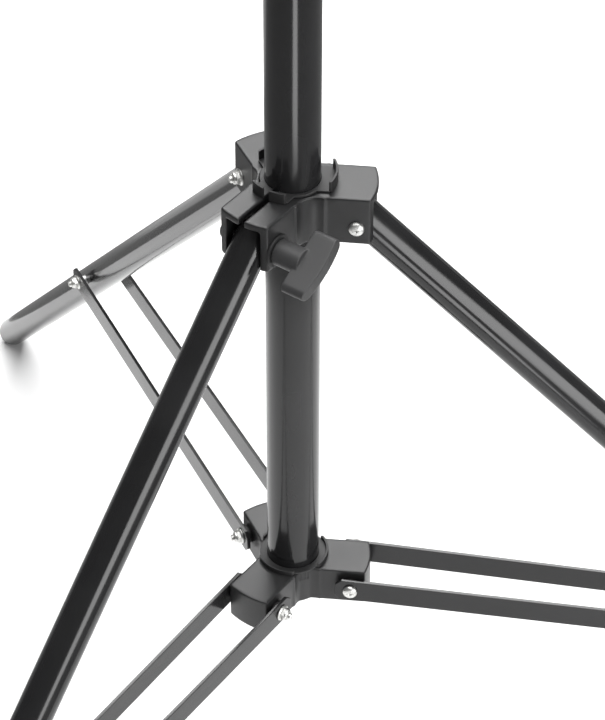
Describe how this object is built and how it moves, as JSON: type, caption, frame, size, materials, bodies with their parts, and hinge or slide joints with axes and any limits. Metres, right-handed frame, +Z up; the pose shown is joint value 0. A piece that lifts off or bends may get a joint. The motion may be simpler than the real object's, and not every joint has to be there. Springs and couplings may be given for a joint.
{
  "type": "crank lighting stand",
  "caption": "Tripod lighting stand: legs hinged on a clamped sliding collar, braced to a lower spider, with a riser wound up the mast by a hand crank.",
  "frame": {"origin": "on the floor, on the mast's axis", "axes": "+Z up the mast, +X along leg 1, legs 2 and 3 at 120 and 240 degrees"},
  "size_m": [0.9423, 1.0844, 1.65],
  "materials": {
    "black_paint": "gloss black powder coat",
    "black_casting": "satin black cast alloy",
    "bush_plastic": "satin black moulding",
    "zinc": "bright zinc plate",
    "dark_steel": "plain steel",
    "knob_plastic": "satin black moulding",
    "pale_plastic": "natural acetal",
    "aluminium": "machined",
    "silver_tube": "satin anodised",
    "wire_rope": "galvanised wire rope",
    "black_sheet": "black painted steel",
    "bronze": "sintered bronze",
    "lining": "friction lining",
    "grip_plastic": "black moulded grip",
    "foot_rubber": "black rubber"
  },
  "bodies": {
    "mast": {"mast_tube": "black_paint", "lower_spider": "black_casting", "spider_ring": "bush_plastic", "spider_bolts": "zinc", "spider_nuts": "zinc", "spider_spacers": "bush_plastic", "mast_head": "black_casting", "head_bush": "pale_plastic", "pulley_axle": "zinc", "cable_outside": "wire_rope", "cable_inside": "wire_rope", "winch_frame": "black_sheet", "winch_saddle": "black_casting", "winch_strap": "black_casting", "strap_bolts": "zinc", "shaft_bushes": "bronze", "brake_lining": "lining", "winch_cover": "black_sheet", "cover_screws": "zinc"},
    "collar": {"leg_collar": "black_casting", "collar_bush": "bush_plastic", "collar_bolts": "zinc", "collar_nuts": "zinc", "clamp_bolt": "zinc", "clamp_washer": "bush_plastic"},
    "knob": {"clamp_knob": "knob_plastic"},
    "leg_1": {"leg_tube_1": "black_paint", "leg_head_1": "bush_plastic", "leg_foot_1": "foot_rubber", "leg_sleeve_1": "dark_steel"},
    "leg_2": {"leg_tube_2": "black_paint", "leg_head_2": "bush_plastic", "leg_foot_2": "foot_rubber", "leg_sleeve_2": "dark_steel"},
    "leg_3": {"leg_tube_3": "black_paint", "leg_head_3": "bush_plastic", "leg_foot_3": "foot_rubber", "leg_sleeve_3": "dark_steel"},
    "brace_1": {"brace_left_1": "black_sheet", "brace_right_1": "black_sheet", "brace_screws_1": "zinc", "brace_nuts_1": "zinc"},
    "brace_2": {"brace_left_2": "black_sheet", "brace_right_2": "black_sheet", "brace_screws_2": "zinc", "brace_nuts_2": "zinc"},
    "brace_3": {"brace_left_3": "black_sheet", "brace_right_3": "black_sheet", "brace_screws_3": "zinc", "brace_nuts_3": "zinc"},
    "riser": {"riser_tube": "silver_tube", "riser_foot": "bush_plastic", "spigot_head": "aluminium"},
    "drum": {"drum_shaft": "dark_steel", "cable_drum": "aluminium", "drum_winding": "wire_rope", "crank_arm": "black_sheet", "crank_pin": "zinc"},
    "grip": {"crank_grip": "grip_plastic"},
    "pulley": {"head_pulley": "aluminium"}
  },
  "joints": [
    {"name": "collar_slide", "type": "slide", "parent": "mast", "child": "collar", "axis": [0, 0, 1], "range_m": [0, 0.48716]},
    {"name": "knob_turn", "type": "hinge", "parent": "collar", "child": "knob", "pos_m": [-0.0206, -0.03568, 0.579], "axis": [0.866, -0.5, 0], "range_deg": [0, 540]},
    {"name": "leg_fold_1", "type": "hinge", "parent": "collar", "child": "leg_1", "pos_m": [0.0412, 0, 0.579], "axis": [0, 1, 0], "range_deg": [0, 42.71]},
    {"name": "leg_fold_2", "type": "hinge", "parent": "collar", "child": "leg_2", "pos_m": [-0.0206, 0.03568, 0.579], "axis": [-0.866, -0.5, 0], "range_deg": [0, 42.71]},
    {"name": "leg_fold_3", "type": "hinge", "parent": "collar", "child": "leg_3", "pos_m": [-0.0206, -0.03568, 0.579], "axis": [0.866, -0.5, 0], "range_deg": [0, 42.71]},
    {"name": "brace_fold_1", "type": "hinge", "parent": "mast", "child": "brace_1", "pos_m": [0.0412, 0, 0.27], "axis": [0, -1, 0], "range_deg": [0, 89.84]},
    {"name": "brace_fold_2", "type": "hinge", "parent": "mast", "child": "brace_2", "pos_m": [-0.0206, 0.03568, 0.27], "axis": [0.866, 0.5, 0], "range_deg": [0, 89.84]},
    {"name": "brace_fold_3", "type": "hinge", "parent": "mast", "child": "brace_3", "pos_m": [-0.0206, -0.03568, 0.27], "axis": [-0.866, 0.5, 0], "range_deg": [0, 89.84]},
    {"name": "riser_lift", "type": "slide", "parent": "mast", "child": "riser", "axis": [0, 0, 1], "range_m": [0, 1.1], "deforming": ["cable_inside"]},
    {"name": "crank_turn", "type": "hinge", "parent": "mast", "child": "drum", "pos_m": [-0.05955, 0, 1.235], "axis": [0, 1, 0], "range_deg": [0, 3708]},
    {"name": "grip_spin", "type": "hinge", "parent": "drum", "child": "grip", "pos_m": [-0.05955, -0.05, 1.12], "axis": [0, 1, 0], "continuous": true},
    {"name": "pulley_turn", "type": "hinge", "parent": "mast", "child": "pulley", "pos_m": [-0.02825, 0, 1.5], "axis": [0, -1, 0], "range_deg": [0, 4503]}
  ],
  "couplings": [
    {"joint": "leg_fold_1", "follows": "collar_slide", "rad_per_m": 1.5298},
    {"joint": "leg_fold_2", "follows": "collar_slide", "rad_per_m": 1.5298},
    {"joint": "leg_fold_3", "follows": "collar_slide", "rad_per_m": 1.5298},
    {"joint": "brace_fold_1", "follows": "collar_slide", "rad_per_m": 3.2184},
    {"joint": "brace_fold_2", "follows": "collar_slide", "rad_per_m": 3.2184},
    {"joint": "brace_fold_3", "follows": "collar_slide", "rad_per_m": 3.2184},
    {"joint": "crank_turn", "follows": "riser_lift", "rad_per_m": 58.824},
    {"joint": "pulley_turn", "follows": "riser_lift", "rad_per_m": 71.429}
  ]
}
